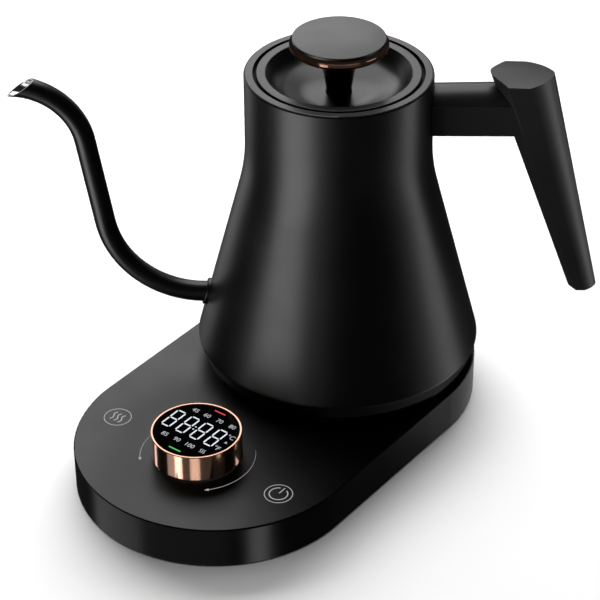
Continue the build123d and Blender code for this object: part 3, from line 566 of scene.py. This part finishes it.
def backdrop():
    """White surround that only the camera sees."""
    bpy.ops.mesh.primitive_uv_sphere_add(segments=48, ring_count=24, radius=BACKDROP_R)
    dome = bpy.context.object
    dome.name = "backdrop"
    m = Nodes("backdrop_white")
    m.set(Base_Color=(0, 0, 0, 1), Specular_IOR_Level=0.0)
    m.set(Emission_Color=(1, 1, 1, 1), Emission_Strength=1.0)
    dome.data.materials.append(m.material)
    camera_only(dome)


def softbox(name, azimuth, elevation, distance, width, height, radiance):
    """Rectangular light aimed at the kettle. Azimuth 0 is the camera's side, 90 the handle's."""
    a, e = math.radians(azimuth), math.radians(elevation)
    away = Vector((math.sin(a) * math.cos(e), -math.cos(a) * math.cos(e), math.sin(e)))
    data = bpy.data.lights.new(name, "AREA")
    data.shape = "RECTANGLE"
    data.size, data.size_y = width, height
    data.energy = radiance * width * height * math.pi
    light = bpy.data.objects.new(name, data)
    light.location = TARGET + away * distance
    light.rotation_euler = away.to_track_quat("Z", "Y").to_euler()
    bpy.context.scene.collection.objects.link(light)
    return light


def world(level):
    made = bpy.data.worlds.new("studio")
    made.use_nodes = True
    made.node_tree.nodes["Background"].inputs["Color"].default_value = (1, 1, 1, 1)
    made.node_tree.nodes["Background"].inputs["Strength"].default_value = level
    bpy.context.scene.world = made


def camera():
    data = bpy.data.cameras.new("camera")
    data.lens = CAMERA_LENS
    data.sensor_width = 36
    data.clip_start, data.clip_end = 0.05, 50
    cam = bpy.data.objects.new("camera", data)
    cam.location = CAMERA_AT
    facing = (CAMERA_AT - CAMERA_AIM).to_track_quat("Z", "Y")
    cam.rotation_euler = (facing @ Quaternion((0, 0, 1), CAMERA_ROLL)).to_euler()
    bpy.context.scene.collection.objects.link(cam)
    bpy.context.scene.camera = cam


def group_of(name, objects):
    group = bpy.data.collections.new(name)
    for member in objects:
        group.objects.link(member)
    return group


def light_only(light, receivers, blockers=None):
    """The light falls on these objects alone and, if blockers are given, only they shade it."""
    light.light_linking.receiver_collection = group_of(light.name + "_receivers", receivers)
    if blockers:
        light.light_linking.blocker_collection = group_of(light.name + "_blockers", blockers)


def light_not(light, spared):
    """The light falls on everything but these objects."""
    group = group_of(light.name + "_spares", spared)
    for member in group.collection_objects:
        member.light_linking.link_state = "EXCLUDE"
    light.light_linking.receiver_collection = group


# name: azimuth, elevation, distance, width, height, radiance
KETTLE_LIGHTS = {
    "far_wall": (190, 30, 1.2, 0.7, 0.4, 3.2),
    "far_top": (182, 62, 1.2, 0.8, 0.7, 3.2),
    "far_left": (225, 0, 1.2, 0.5, 1.2, 0.8),
    "far_right": (152, 15, 1.2, 0.3, 1.0, 0.8),
    "left_key": (309, -20, 1.2, 0.76, 1.1, 3.3),
    "left_soft": (318, -10, 1.3, 1.6, 1.4, 0.3),
    "right_key": (95, -20, 1.2, 0.44, 1.1, 1.5),
    "right_soft": (84, -10, 1.3, 0.9, 1.3, 0.2),
}
BASE_LIGHTS = {
    "base_far": (202, 34, 1.2, 1.2, 0.9, 2.5),
    "base_left": (278, -32, 1.2, 0.76, 0.6, 0.52),
    "base_soft": (330, -32, 1.2, 1.3, 0.6, 0.12),
    "base_front": (26, -36, 1.2, 0.22, 0.6, 1.5),
    "base_right": (132, -30, 0.5, 0.5, 0.3, 0.3),
}
RING_LIGHTS = {
    "ring_fill": (0, -10, 1.4, 3.0, 2.0, 0.07),
    "ring_left": (237, -30, 1.2, 0.4, 0.8, 1.5),
    "ring_wide": (317, -30, 1.2, 0.28, 0.8, 2.3),
    "ring_wide_edge": (305, -30, 1.2, 0.5, 0.8, 0.5),
    "ring_middle": (354, -30, 1.2, 0.36, 0.8, 1.1),
    "ring_right": (52, -30, 1.2, 0.2, 0.8, 1.2),
    "ring_end": (121, -30, 1.2, 0.24, 0.8, 1.0),
    "ring_far": (188, 34, 1.2, 1.0, 0.9, 2.3),
}
TRIM_LIGHTS = {
    "trim_fill": (0, -10, 1.4, 3.0, 2.0, 0.035),
    "trim_line": (0, 4, 1.2, 2.2, 0.16, 0.35),
    "trim_left": (325, -20, 1.2, 0.34, 0.14, 1.6),
    "trim_right": (75, -6, 1.2, 0.5, 0.16, 1.6),
}
FOOT_LIGHTS = {
    "foot_fill": (0, -88, 0.9, 1.4, 1.4, 0.02),
    "foot_edge": (75, -52, 0.9, 1.5, 0.3, 0.16),
}

FLOOR_LIGHT = (190, 28, 1.7, 3.0, 1.4, 7.0)
FLOOR_FILL = (0, 88, 1.5, 2.5, 2.5, 0.8)

ground = floor()
backdrop()
world(0.02)
camera()
COVER = NODES["base_top_cover"]
RING, TRIM = NODES["dial_ring"], NODES["lid_knob_trim"]
SHELL, PAN = NODES["body_shell"], NODES["bottom_pan"]
BASE_NODES = [COVER, NODES["base_bottom_cover"], NODES["rubber_feet"]]
for name, values in KETTLE_LIGHTS.items():
    light_not(softbox(name, *values), [ground, COVER, NODES["dial_lens"], RING, TRIM])
for name, values in BASE_LIGHTS.items():
    light_only(softbox(name, *values), [COVER], [SHELL, PAN, RING])
for rows, node in ((RING_LIGHTS, RING), (TRIM_LIGHTS, TRIM), (FOOT_LIGHTS, SHELL)):
    for name, values in rows.items():
        light_only(softbox(name, *values), [node], [node])
light_only(softbox("floor_light", *FLOOR_LIGHT), [ground], BASE_NODES)
light_only(softbox("floor_fill", *FLOOR_FILL), [ground])

bpy.context.scene.view_settings.view_transform = "Standard"
